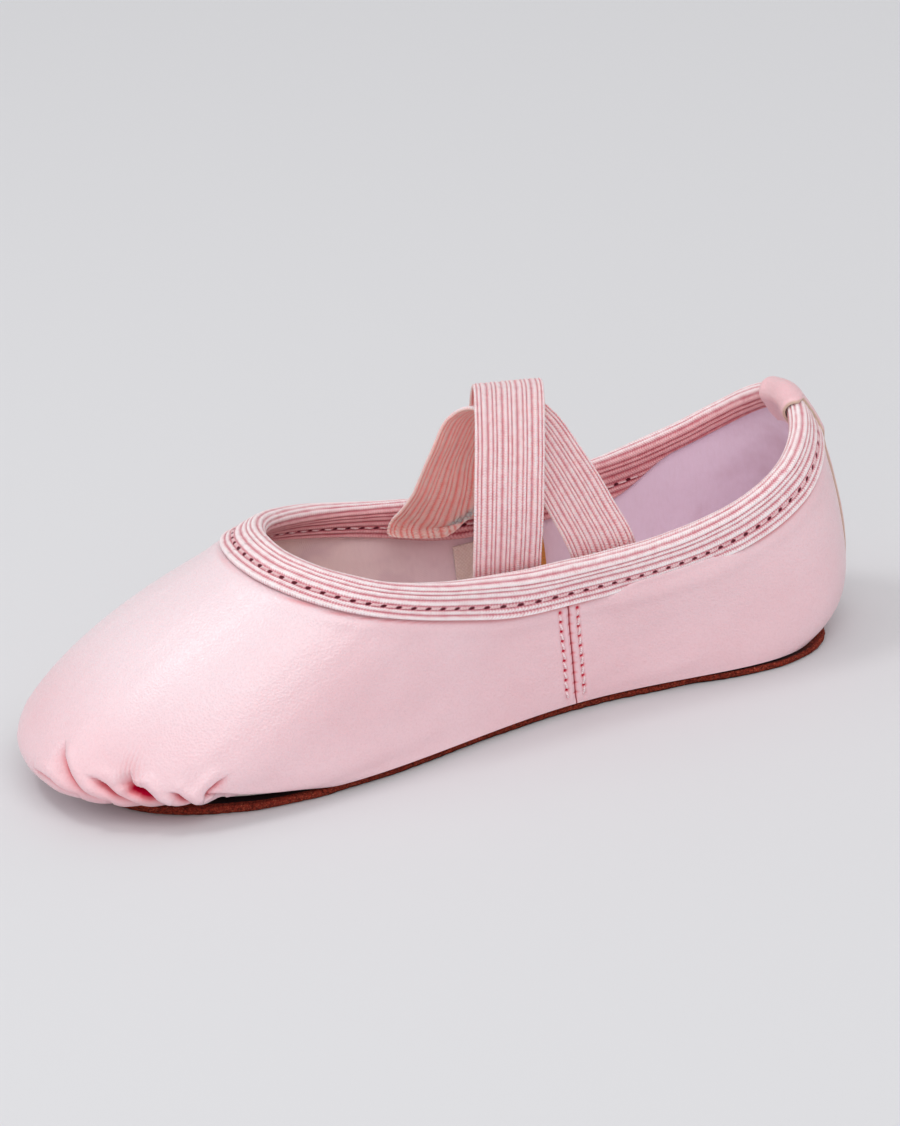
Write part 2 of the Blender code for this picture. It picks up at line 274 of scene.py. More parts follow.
def crease_field(u, v):
    """Relief in mm, and the painted shade on the under side of the folds, from 0 up."""
    u, v = np.broadcast_arrays(from_toe(u), v)
    relief, shade = np.zeros(u.shape), np.zeros(u.shape)
    near = np.abs(u) < 3.2
    spot, normal = last_frame(u[near], v[near])[:2]
    total, dark = np.zeros(len(spot)), np.zeros(len(spot))
    for mirror, group in ((1, CREASES), (-1, far_creases())):
        for points, depth, width, under in group:
            distance, x, run, length = beside_path(points, spot, normal)
            x = -x * under * mirror
            open_part = smooth(run, -0.5, 5.0) * (1 - 0.35 * smooth(run / length, 0.75, 1.0))
            reach = smooth(distance, 11, 4)
            lower_side = np.exp(-(np.abs(x) / width) ** 1.15)
            cliff = np.exp(-(np.abs(x) / 0.26) ** 2.0)
            groove = np.where(x > 0, lower_side, cliff)
            lobe = bump(x, -1.9, 1.3) * smooth(spot[:, 2], FEATHER_HEIGHT, FEATHER_HEIGHT + 5)
            total += depth * open_part * reach * (-groove + 0.24 * lobe)
            share = depth / DEEPEST
            # painted shade for the leather's colour: darkest close under each crease and in the pits of the
            # deepest
            pit = 1 + 0.5 * bump(run, 6.6, 3.2) * share ** 2
            close = np.exp(-(x / ((0.50 + 0.09 * depth) * width)) ** 2) * pit
            around = 0.45 * np.exp(-(np.abs(x) / (1.5 * width)) ** 1.5)
            under_fold = np.where(x > 0, np.maximum(close, around), np.exp(-(x / 0.24) ** 2))
            dark = np.maximum(dark, (0.38 + 0.62 * share ** 1.5) * open_part * under_fold)
    relief[near], shade[near] = total, dark
    return relief, shade


def low_noise(x, y, seed, scale, octaves=2):
    rng = np.random.default_rng(seed)
    out = np.zeros(np.broadcast(x, y).shape)
    for o in range(octaves):
        for _ in range(6):
            a = rng.uniform(0, 2 * math.pi)
            f = 2 * math.pi / (scale / 1.8 ** o) * rng.uniform(0.7, 1.3)
            out += np.sin((x * math.cos(a) + y * math.sin(a)) * f + rng.uniform(0, 6.28)) / 6 / 1.6 ** o
    return out


# Fine wrinkles gathered above the two longest creases: station, upper and lower height, half width in
# stations, pitch and depth in mm
WRINKLES = [(1.56, 2.48, 1.68, 0.13, 0.85, 0.20), (0.72, 2.20, 1.70, 0.09, 0.75, 0.12)]


def upper_relief(u, v):
    """Height of leather and lining above the last, and the painted shade on it in the creases and wrinkles.
    """
    relief, shade = crease_field(u, v)
    w = from_toe(u)
    s, h = w * 22.0, v * 9.0
    relief = relief + 0.22 * low_noise(s, h, 5, 34) * smooth(v, 0.2, 1.4)
    relief += 0.10 * low_noise(s, h, 9, 13) * smooth(v, 0.0, 1.0) * (1 - smooth(drop_of(u, v), 14, 9))
    for line, top, low, wide, pitch, height in WRINKLES:
        across = w + 0.31 * (v - 1.86)
        mask = bump(across, line, wide) * smooth(v, low, low + 0.15) * (1 - smooth(v, top - 0.5, top))
        waves = np.sin(across * 21 * 2 * math.pi / pitch + 1.6 * np.sin(h * 1.1))
        relief += height * mask * waves
        # painted shade in the troughs of the wrinkles
        shade = np.maximum(shade, 0.30 * mask * (0.6 - 0.4 * waves))
    # a soft hollow behind the last crease, and a swelling behind that
    relief -= 0.8 * bump(w, 2.62, 0.25) * bump(v, 1.30, 0.45)
    relief += 0.5 * bump(w, 3.3, 0.5) * bump(v, 1.3, 0.5)
    return relief, shade


def loose_margin(w, v):
    """How far the upper is drawn in and lifted behind the pleats, where it comes off the sole."""
    loose = 0.5 * smooth(w, 1.72, 1.92) + 0.5 * smooth(w, 2.06, 2.16)
    loose = loose * (1 - smooth(w, 2.25, 3.0)) * smooth(v, 1.3, 0.3)
    notch = bump(w, 2.26, 0.15) * smooth(v, 1.9, 0.7)
    return 1.5 * loose + 0.6 * notch, loose + 1.3 * notch


def leather_over_binding(u):
    """1 where the leather puffs over the lower ribs of the binding, behind the side seams."""
    w = np.abs(from_toe(u))
    return smooth(w, 5.15, 5.6) * (1 - smooth(w, 6.0, 6.5))


def collar_pull(drop):
    """Leather puffed just below the binding and drawn in under it."""
    puff = 0.35 * bump(drop, 12.4, 1.8) - 0.25 * smooth(drop, 11.0, 9.5)
    return np.where(drop < 9.0, np.minimum(puff, 0.05), puff)


def inner_leg(u):
    """Depth of the binding inside the shoe: the lining comes up over it round the heel."""
    w = np.abs(from_toe(u))
    return BINDING_DEPTH - 4.6 * smooth(w, 5.9, 6.5)


# ------ mesh building


def link(name, mesh, material):
    obj = bpy.data.objects.new(name, mesh)
    bpy.context.scene.collection.objects.link(obj)
    mesh.materials.append(material)
    return obj


def mesh_object(name, points, faces, material, attributes=(), sharp=None):
    """Object from points in mm and a list of faces, with pairs of a name and one value per point."""
    mesh = bpy.data.meshes.new(name)
    mesh.from_pydata((np.reshape(points, (-1, 3)) * MM).tolist(), [], faces)
    for key, values in attributes:
        layer = mesh.attributes.new(key, "FLOAT", "POINT")
        layer.data.foreach_set("value", np.ascontiguousarray(values, np.float32).ravel())
    mesh.validate()
    mesh.shade_smooth()
    if sharp:
        mesh.set_sharp_from_angle(angle=math.radians(sharp))
    return link(name, mesh, material)


def grid_faces(rows, columns, wrap_rows, wrap_columns):
    """Four-sided faces between the points of a grid."""
    r, c = np.ogrid[:rows - (not wrap_rows), :columns - (not wrap_columns)]
    here, below = r * columns, (r + 1) % rows * columns
    right = (c + 1) % columns
    return np.stack([here + c, here + right, below + right, below + c], -1).reshape(-1, 4)


def shell(name, outer, inner, material, closed, attributes, sharp=None):
    """Solid between two grids with the same columns; attributes are pairs of outer and inner values."""
    rows, columns = outer.shape[:2]
    depth = inner.shape[0]
    points = np.concatenate([outer, inner[::-1]])
    faces = [grid_faces(rows + depth, columns, True, closed)]
    if not closed:
        k = np.arange(rows - 1)
        top = 2 * rows - 1
        for column, flip in ((0, False), (columns - 1, True)):
            quad = np.stack([k, k + 1, top - k - 1, top - k], -1) * columns + column
            faces.append(quad[:, ::-1] if flip else quad)
    values = [(key, np.concatenate([a, b[::-1]])) for key, (a, b) in attributes.items()]
    return mesh_object(name, points, np.concatenate(faces).tolist(), material, values, sharp)


def tube(path, radius, sides=8):
    """Points, four-sided faces and three-sided caps of a tube along a path, its ends drawn in."""
    path = np.asarray(path, float)
    n = len(path)
    tangent = unit(np.gradient(path, axis=0))
    guide = np.array([0.0, 0.0, 1.0]) if abs(tangent[0][2]) < 0.9 else np.array([1.0, 0.0, 0.0])
    side = unit(np.cross(tangent, guide))
    other = np.cross(tangent, side)
    angle = np.arange(sides) * 2 * math.pi / sides
    ring = side[:, None] * np.cos(angle)[None, :, None] + other[:, None] * np.sin(angle)[None, :, None]
    size = np.full(n, radius)
    size[0] = size[-1] = radius * 0.35
    points = path[:, None] + ring * size[:, None, None]
    faces = grid_faces(n, sides, False, True)
    points = np.concatenate([points.reshape(-1, 3), path[:1], path[-1:]])
    k = np.arange(sides)
    start, end = n * sides, n * sides + 1
    base = (n - 1) * sides
    caps = [np.stack([np.full(sides, start), (k + 1) % sides, k], -1),
            np.stack([np.full(sides, end), base + k, base + (k + 1) % sides], -1)]
    return points, faces, np.concatenate(caps)


def tubes(name, paths, radius, material):
    """Many short tubes as one piece."""
    spots, quads, tris, first = [], [], [], 0
    for path in paths:
        points, faces, caps = tube(path, radius)
        spots.append(points)
        quads.append(faces + first)
        tris.append(caps + first)
        first += len(points)
    faces = np.concatenate(quads).tolist() + np.concatenate(tris).tolist()
    return mesh_object(name, np.concatenate(spots), faces, material)


# ------ materials


def rgb(*levels):
    """Colour given in 0 to 255, as shader values."""
    shares = [c / 255 for c in levels]
    return (*(c / 12.92 if c <= 0.04045 else ((c + 0.055) / 1.055) ** 2.4 for c in shares), 1)


class Nodes:
    """A material being built: each method adds a node and returns its output."""

    def __init__(self, name):
        self.material = bpy.data.materials.new(name)
        self.material.use_nodes = True
        self.tree = self.material.node_tree
        self.shader = self.tree.nodes["Principled BSDF"]
        self.coords = self.tree.nodes.new("ShaderNodeTexCoord")

    def add(self, kind, **settings):
        node = self.tree.nodes.new("ShaderNode" + kind)
        inputs = settings.pop("inputs", {})
        for key, value in settings.items():
            setattr(node, key, value)
        for key, value in inputs.items():
            self.put(node.inputs[key], value)
        return node

    def put(self, socket, value):
        if isinstance(value, bpy.types.NodeSocket):
            self.tree.links.new(value, socket)
        else:
            socket.default_value = value

    def mm(self, scale=(1, 1, 1)):
        node = self.add("Mapping", inputs={"Vector": self.coords.outputs["Object"],
                                           "Scale": tuple(1000 * s for s in scale)})
        return node.outputs["Vector"]

    def attribute(self, name):
        return self.add("Attribute", attribute_name=name).outputs["Fac"]

    def noise(self, vector, scale, detail=3.0, rough=0.5):
        return self.add("TexNoise", inputs={"Vector": vector, "Scale": scale, "Detail": detail,
                                            "Roughness": rough}).outputs["Fac"]

    def voronoi(self, vector, scale):
        return self.add("TexVoronoi", inputs={"Vector": vector, "Scale": scale}).outputs["Distance"]

    def math(self, operation, a, b=0.0, clamp=False):
        node = self.add("Math", operation=operation, use_clamp=clamp)
        self.put(node.inputs[0], a)
        self.put(node.inputs[1], b)
        return node.outputs[0]

    def plus(self, a, b):
        return self.math("ADD", a, b)

    def times(self, a, b):
        return self.math("MULTIPLY", a, b)

    def wave(self, value, pitch):
        return self.math("SINE", self.times(value, 2 * math.pi / pitch))

    def remap(self, value, low, high, to_low=0.0, to_high=1.0):
        return self.add("MapRange", inputs={"Value": value, "From Min": low, "From Max": high,
                                            "To Min": to_low, "To Max": to_high}).outputs["Result"]

    def mix(self, factor, a, b):
        node = self.add("Mix", data_type="RGBA")
        self.put(node.inputs[0], factor)
        self.put(node.inputs[6], a)
        self.put(node.inputs[7], b)
        return node.outputs[2]

    def tint(self, color, value, low, high, share, *levels):
        """Another colour over this one, with its share rising where value goes from low to high."""
        return self.mix(self.remap(value, low, high, 0, share), color, rgb(*levels))

    def bump(self, height, distance_mm, strength, normal=None):
        node = self.add("Bump", inputs={"Height": height, "Distance": distance_mm * MM,
                                        "Strength": strength})
        if normal is not None:
            self.put(node.inputs["Normal"], normal)
        return node.outputs["Normal"]

    def finish(self, color, rough, normal=None, sheen=0.0, sheen_rough=0.5, **sockets):
        sockets.update(Base_Color=color, Roughness=rough, Sheen_Weight=sheen, Sheen_Roughness=sheen_rough)
        for key, value in sockets.items():
            self.put(self.shader.inputs[key.replace("_", " ")], value)
        if normal is not None:
            self.put(self.shader.inputs["Normal"], normal)
        return self.material


def leather_material(name, pale, deep):
    """Satin leather with pores and fine creases, a painted highlight over the top of the toe, painted crimson
    shade deep in the folds and seams, bare where it is cut.
    """
    n = Nodes(name)
    where = n.mm()
    fine = n.voronoi(where, 1.9)
    pores = n.voronoi(where, 3.4)
    folds = n.noise(where, 0.35, 4, 0.6)
    creases = n.noise(n.mm((1.0, 1.0, 0.45)), 0.9, 5, 0.65)
    blotch = n.noise(where, 0.045, 3, 0.5)
    color = n.mix(n.remap(blotch, 0.35, 0.65), pale, deep)
    # painted highlight: paler over the top of the toe where the attribute pale is set, for a broad sheen from
    # the light above
    color = n.mix(n.attribute("pale"), color, rgb(241, 217, 223))
    color = n.mix(n.remap(fine, 0.15, 0.6, 0.10, 0.0), color, rgb(205, 150, 158))
    # painted shade: salmon, then crimson, deep in the folds, in the seams and needle holes, and under the
    # edge of the binding
    painted_shade = n.attribute("painted_shade")
    color = n.tint(color, painted_shade, 0.05, 0.55, 0.85, 228, 136, 142)
    color = n.tint(color, painted_shade, 0.45, 0.85, 1, 196, 8, 56)
    edge = n.attribute("raw_edge")
    fuzz = n.noise(where, 4.0, 4, 0.7)
    color = n.mix(edge, color, n.mix(fuzz, rgb(222, 196, 178), rgb(186, 150, 134)))
    rough = n.remap(n.noise(where, 0.8, 3, 0.6), 0.3, 0.7, 0.29, 0.38)
    rough = n.math("ADD", rough, n.times(edge, 0.5), clamp=True)
    normal = n.bump(creases, 0.12, 0.35)
    normal = n.bump(folds, 0.30, 0.25, normal)
    normal = n.bump(fine, 0.11, 0.6, normal)
    normal = n.bump(pores, 0.035, 0.3, normal)
    # less sheen and specular where the painted shade lies, so it stays deep
    sheen = n.remap(painted_shade, 0.1, 0.5, 0.10, 0.0)
    return n.finish(color, rough, normal, sheen, 0.4, Specular_IOR_Level=n.remap(painted_shade, 0.1, 0.5, 0.75, 0.1),
                    Subsurface_Weight=0.10, Subsurface_Scale=0.002, Subsurface_Radius=(1.0, 0.45, 0.4))


def elastic_material(name, ridge, groove, ridge_inside_painted_light, groove_inside_painted_light, glow):
    """Ribbed elastic: a slanting knit on every rib, another pair of colours painted on the inner face for the
    light and shade there, painted shade in the needle holes.
    """
    n = Nodes(name)
    where = n.mm()
    hole = n.attribute("hole")
    bend = n.times(n.wave(n.attribute("across"), 1.25), 1.6)
    slant = n.plus(n.times(n.attribute("along"), 2 * math.pi / 0.56), bend)
    knit = n.remap(n.math("SINE", slant), -1.0, 1.0)
    threads = n.noise(where, 3.4, 4, 0.7)
    strand = n.noise(where, 0.55, 3, 0.6)
    level = n.plus(n.attribute("rib"), n.times(n.plus(knit, -0.5), 0.30))
    level = n.plus(level, n.remap(threads, 0.3, 0.7, -0.16, 0.16))
    level = n.plus(level, n.remap(strand, 0.3, 0.7, -0.14, 0.14))
    level = n.remap(level, 0.24, 0.98)
    outside = n.mix(level, groove, ridge)
    # painted light and shade: the inner face takes its own pair of colours, darker inside the binding,
    # brighter coral under the straps
    inner = n.mix(level, groove_inside_painted_light, ridge_inside_painted_light)
    color = n.mix(n.times(n.attribute("face"), 0.85), outside, inner)
    # painted shade: a dusky ring and a dark crimson core in each needle hole
    color = n.tint(color, hole, -0.22, 0.05, 0.6, 192, 84, 106)
    color = n.tint(color, hole, 0.0, 0.22, 1, 92, 4, 30)
    normal = n.bump(knit, 0.12, 0.75)
    normal = n.bump(threads, 0.10, 0.5, normal)
    return n.finish(color, 0.75, normal, 0.30, 0.35, Subsurface_Weight=glow, Subsurface_Scale=0.0016,
                    Subsurface_Radius=(1.0, 0.40, 0.35))


def plain_weave(n, where, pitch):
    """Over and under of a plain weave from the attributes along and across in mm, and its uneven yarn."""
    along = n.plus(n.attribute("along"), n.times(n.noise(where, 0.5, 2), 0.5))
    across = n.plus(n.attribute("across"), n.times(n.noise(where, 0.55, 2), 0.5))
    weave = n.remap(n.times(n.wave(along, pitch), n.wave(across, pitch)), -1, 1)
    return weave, n.noise(n.mm((1.0, 1.0, 0.3)), 1.6, 4, 0.65)


def woven_material(name, light, dark, pitch, height=0.05, hem=None):
    """Plain woven cotton."""
    n = Nodes(name)
    weave, slub = plain_weave(n, n.mm(), pitch)
    color = n.mix(n.times(weave, 0.5), light, dark)
    color = n.mix(n.remap(slub, 0.4, 0.7, 0, 0.35), color, dark)
    # painted shade and warm reflection in ochre along the edge where the attribute hem is set
    if hem:
        color = n.mix(n.attribute("hem"), color, hem)
    normal = n.bump(weave, height, 0.7)
    normal = n.bump(slub, 0.08, 0.4, normal)
    return n.finish(color, 0.9, normal, 0.2)


def lining_material(name):
    """Thin cotton, painted warm pink toward the toe and cooler lavender round the heel for the light inside
    the shoe, with soft cloudy creases and painted shade in them.
    """
    n = Nodes(name)
    where = n.mm()
    weave, slub = plain_weave(n, where, 0.45)
    cloud = n.noise(where, 0.075, 3, 0.6)
    place_x = n.add("SeparateXYZ", inputs={"Vector": where}).outputs["X"]
    # painted light: warm pink toward the toe, cooler lavender toward the heel
    rear = n.remap(place_x, -30.0, 45.0)
    color = n.mix(rear, rgb(255, 226, 218), rgb(246, 224, 244))
    color = n.mix(n.times(weave, 0.18), color, rgb(226, 196, 206))
    color = n.tint(color, slub, 0.4, 0.7, 0.10, 210, 172, 184)
    # painted shade: soft cloudy blotches
    color = n.tint(color, cloud, 0.50, 0.68, 0.38, 206, 168, 186)
    normal = n.bump(weave, 0.05, 0.6)
    normal = n.bump(cloud, 2.2, 0.35, normal)
    return n.finish(color, 0.92, normal, 0.2)


def suede_material(name):
    """Brushed brown suede with a few light fibres; the attribute dark paints near black shade where the upper
    covers it and in the gap under the upper's edge.
    """
    n = Nodes(name)
    where = n.mm()
    nap = n.noise(where, 1.8, 5, 0.75)
    fibre = n.noise(where, 3.6, 3, 0.7)
    patch = n.noise(where, 0.10, 3, 0.6)
    color = n.mix(n.remap(nap, 0.36, 0.64), rgb(52, 6, 5), rgb(172, 62, 44))
    color = n.tint(color, patch, 0.4, 0.65, 0.35, 104, 30, 22)
    color = n.tint(color, fibre, 0.57, 0.69, 0.6, 212, 138, 104)
    # painted shade: near black where the attribute dark is set
    color = n.mix(n.attribute("dark"), color, rgb(18, 12, 18))
    normal = n.bump(nap, 0.45, 0.8)
    normal = n.bump(fibre, 0.15, 0.6, normal)
    return n.finish(color, 0.96, normal, 0.06, 0.6, Sheen_Tint=rgb(190, 120, 100),
                    Specular_IOR_Level=0.15)


def thread_material(name, color, dark):
    """Twisted sewing thread."""
    n = Nodes(name)
    where = n.mm()
    twist = n.add("TexWave", wave_type="BANDS", bands_direction="DIAGONAL",
                  inputs={"Vector": where, "Scale": 1.1, "Distortion": 0.6}).outputs["Fac"]
    hair = n.noise(where, 5.0, 3, 0.7)
    shade = n.mix(n.times(n.math("SUBTRACT", 1.0, twist), 0.5), color, dark)
    normal = n.bump(twist, 0.10, 0.7)
    normal = n.bump(hair, 0.05, 0.4, normal)
    return n.finish(shade, 0.62, normal, 0.3, 0.4)


leather = leather_material("soft_pink_leather", rgb(240, 203, 210), rgb(237, 196, 203))
strip_leather = leather_material("strip_pink_leather", rgb(238, 194, 199), rgb(234, 186, 192))
# the binding's inside colours are painted shade
elastic = elastic_material("ribbed_pink_elastic", rgb(255, 241, 243), rgb(212, 128, 140),
                           rgb(234, 160, 164), rgb(190, 88, 98), 0.1)
# the straps' inside colours are painted light, a brighter coral
strap_elastic = elastic_material("strap_pink_elastic", rgb(244, 219, 222), rgb(208, 132, 141),
                                 rgb(255, 214, 206), rgb(254, 156, 146), 0.7)
cotton = lining_material("lining_cotton")
sock = woven_material("sock_cotton", rgb(252, 240, 235), rgb(234, 216, 210), 0.5)
# the ochre given as hem is painted shade and warm reflection
tape_cloth = woven_material("cream_tape", rgb(245, 228, 220), rgb(222, 190, 178), 0.8,
                            height=0.12, hem=rgb(214, 142, 70))
suede = suede_material("brown_suede")
pink_thread = thread_material("pink_thread", rgb(240, 206, 208), rgb(205, 142, 150))
seam_thread = thread_material("seam_thread", rgb(255, 236, 239), rgb(222, 150, 160))

# ------ upper panels


def place(piece, node):
    """Attach the piece to the body named shoe and hide the CAD node it stands in for."""
    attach(piece, "shoe")
    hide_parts(node)


def stations(start, end):
    """Stations round the shoe, close together over the pleated toe and beside the seams."""
    fine = np.arange(start, end, 0.0005)
    w = np.abs(from_toe(fine))
    seam = np.minimum(np.minimum(np.abs(w - SIDE_SEAM), np.abs(fine - start)), np.abs(fine - end))
    step = np.where(w < 2.6, 0.0125, 0.045)
    step = np.where(seam < 0.16, 0.010, step)
    density = np.cumsum(0.0005 / step)
    count = int(density[-1]) + 1
    return np.interp(np.linspace(density[0], density[-1], count), density, fine).clip(start, end)


def heights(count_low, count_high):
    return np.concatenate([np.linspace(0, 2.6, count_low, endpoint=False), np.linspace(2.6, 4, count_high)])


SEAM_PITCH, SEAM_ROW = 2.35, 2.0
SEAM_V = np.linspace(0.42, 4.0, 400)
SEAM_RUN = run_along(last(SIDE_SEAM, SEAM_V))


def from_side_seam(u, v):
    """Distance from the nearer side seam, in mm."""
    return np.abs((np.abs(from_toe(u)) - SIDE_SEAM) * speed(u, v))


def seam_relief(u, v):
    """Butt seam: the two edges dip where they meet and where each row of stitches pulls."""
    x = from_side_seam(u, v)
    dips = -0.34 * bump(x, 0, 0.40) - 0.26 * bump(x, SEAM_ROW, 0.6)
    return (dips + 0.16 * bump(x, 1.1, 0.5) + 0.10 * bump(x, 3.1, 0.8)) * smooth(v, 0.1, 0.5)


def leather_surface(u, v, drop):
    """Relief of the leather and its painted shade: in folds, under the edge of the binding, in the seams and
    needle holes.
    """
    relief, painted_shade = upper_relief(u, v)
    pressed = np.clip(relief, -0.3, 0.05)
    relief = np.where(drop < 9.5, pressed, relief) + collar_pull(drop) + seam_relief(u, v)
    over = leather_over_binding(u)
    lip = BINDING_DEPTH + 0.4 - 3.0 * over
    cover = smooth(drop, lip, lip + 1.2) * (1 - smooth(drop, 8.5, 24.0))
    relief += 1.25 * smooth(over, 0.0, 0.6) * cover
    x, run = from_side_seam(u, v), np.interp(v, SEAM_V, SEAM_RUN)
    holes = bump(x, SEAM_ROW, 0.40) * bump(to_nearest(run, SEAM_PITCH), 0, 0.40)
    # the thread that closes the butt seam crosses it in small steps
    crossing = bump(x, 0.35, 0.45) * bump(to_nearest(run + SEAM_PITCH / 2, SEAM_PITCH), 0, 0.30)
    dip = 0.52 * bump(x, 0, 0.26) + 0.16 * bump(x, SEAM_ROW, 0.6)
    beside_seam = (np.abs(np.abs(from_toe(u)) - SIDE_SEAM) < 0.3) & (drop > BINDING_DEPTH)
    above_sole = v > 0.5
    relief -= beside_seam * above_sole * (0.3 * holes + 0.12 * crossing)
    # painted shade: a crimson line just under the edge of the binding
    painted_shade = painted_shade + 0.45 * bump(drop, lip + 0.1, 0.5)
    # painted shade in the dip of the butt seam, its needle holes and where its thread crosses
    return relief, painted_shade + beside_seam * (dip + above_sole * (holes + 0.42 * crossing))


def lining_surface(u, v, drop):
    """Relief of the lining: like the leather low down, flat near the topline, with soft hollows."""
    relief, painted_shade = upper_relief(u, v)
    hollow = np.maximum(low_noise(from_toe(u) * 22, v * 9, 21, 26), 0)
    return relief * smooth(v, 3.4, 2.6) - 0.35 * hollow * smooth(drop, 9, 13), painted_shade


def panel(name, start, end, material, depth, thickness, node, is_leather):
    """One panel of leather or lining between two seams."""
    us = stations(start + SEAM_GAP, end - SEAM_GAP)
    if is_leather:
        hs, surface = heights(112, 44), leather_surface
    else:
        hs, surface = heights(40, 30), lining_surface
        us = np.interp(np.linspace(0, 1, max(len(us) // 2, 40)), np.linspace(0, 1, len(us)), us)
    u = np.broadcast_to(us, (len(hs), len(us)))
    v = hs[:, None] * below_topline(us, BEAD_DROP)[None] / 4
    point, normal = last_frame(u, v)[:2]
    drop = drop_of(u, v)
    w = np.abs(from_toe(u))
    relief, painted_shade = surface(u, v, drop)
    pull, lift = loose_margin(w, v)
    relief = relief - pull
    point = out_from(point, np.array([0, 0, 1.0]), lift)
    face = out_from(point, normal, relief - depth)
    # the back of the leather doesn't follow its face where that stands high
    back_relief = np.minimum(relief, 0.25) if is_leather else relief
    back = out_from(point, normal, back_relief - depth - thickness)
    s = np.broadcast_to(length_at(us), u.shape)
    # painted highlight: the leather is painted paler over the top of the toe, as a broad sheen from the light
    # above
    painted_highlight = smooth(v, 2.1, 3.1) * (1 - smooth(w, 1.0, 2.9))
    # painted shade: near a side seam the back of the leather, seen in the seam's gap, is shaded crimson
    # rather than bare
    at_seam = bump(from_side_seam(u, v), 0, 1.0)
    attributes = {"painted_shade": (painted_shade, np.maximum(painted_shade * 0.3, at_seam)),
                  "raw_edge": (np.zeros(u.shape), 0.75 * (1 - at_seam)),
                  "along": (s, s), "across": (drop, drop), "pale": (painted_highlight, painted_highlight)}
    place(shell(name, face, back, material, False, attributes, sharp=55), node)


PANELS = [("vamp", -SIDE_SEAM, SIDE_SEAM), ("quarter_left", SIDE_SEAM, HEEL_SEAM),
          ("quarter_right", HEEL_SEAM, AROUND - SIDE_SEAM)]
for node, start, end in PANELS:
    panel(node + "_leather", start, end, leather, 0, LEATHER, node, True)
    lining_node = "vamp_lining" if node == "vamp" else node.replace("quarter", "quarter_lining")
    panel(lining_node + "_cotton", start, end, cotton, LEATHER + GAP, LINING, lining_node,
          False)

# ------ binding

RIB_PITCH = 1.30
OUTSIDE, INSIDE = GAP, -(LEATHER + GAP + LINING + GAP)


def rib_height(distance, pitch=RIB_PITCH):
    """Profile across ribbed elastic: 0 in a groove, 1 on a rib, every third groove deeper."""
    phase = distance / pitch + 0.16 * np.sin(2 * math.pi * distance / (3.1 * pitch))
    wave = np.abs(np.cos(math.pi * phase)) ** 0.7
    deep = 0.5 + 0.5 * np.cos(2 * math.pi * (np.round(phase - 0.5)) / 3)
    return np.clip(wave * (0.88 + 0.12 * deep) + 0.06 * (1 - deep), 0, 1)


def wrap_profile(outside, inside, drop_outside, drop_inside, spacing):
    """Distances across a strip folded over the topline, and the lengths of its outer leg and its turn."""
    a, b = drop_outside - BEAD_DROP, math.pi * (outside - inside) / 2
    total = a + b + drop_inside - BEAD_DROP
    return np.linspace(0, total, int(total / spacing) + 1), a, b


def wrap_points(us, d, a, b, outside, inside, extra, inner_end=99.0):
    """Points of a folded strip raised by extra, with its base and outward directions.

    Rows past inner_end, the drop where the inner leg stops, close up into its cut edge.
    """
    radius = (outside - inside) / 2
    u = np.broadcast_to(us, (len(d), np.shape(us)[-1]))
    dd = np.broadcast_to(d[:, None], u.shape)
    on_out, on_in = dd < a, dd > a + b
    drop = np.where(on_out, BEAD_DROP + a - dd, np.where(on_in, BEAD_DROP + dd - a - b, BEAD_DROP))
    drop = np.where(on_in & (drop > inner_end), inner_end + (drop - inner_end) * 0.01, drop)
    point, normal, up = last_frame(u, below_topline(u, drop))[:3]
    angle = np.clip((dd - a) / b, 0, 1) * math.pi
    centre = point + normal * ((outside + inside) / 2)
    arc_dir = normal * np.cos(angle)[..., None] + up * np.sin(angle)[..., None]
    base = np.where(on_out[..., None], point + normal * outside,
                    np.where(on_in[..., None], point + normal * inside, centre + arc_dir * radius))
    out = np.where(on_out[..., None], normal, np.where(on_in[..., None], -normal, arc_dir))
    return out_from(base, out, extra), base, out


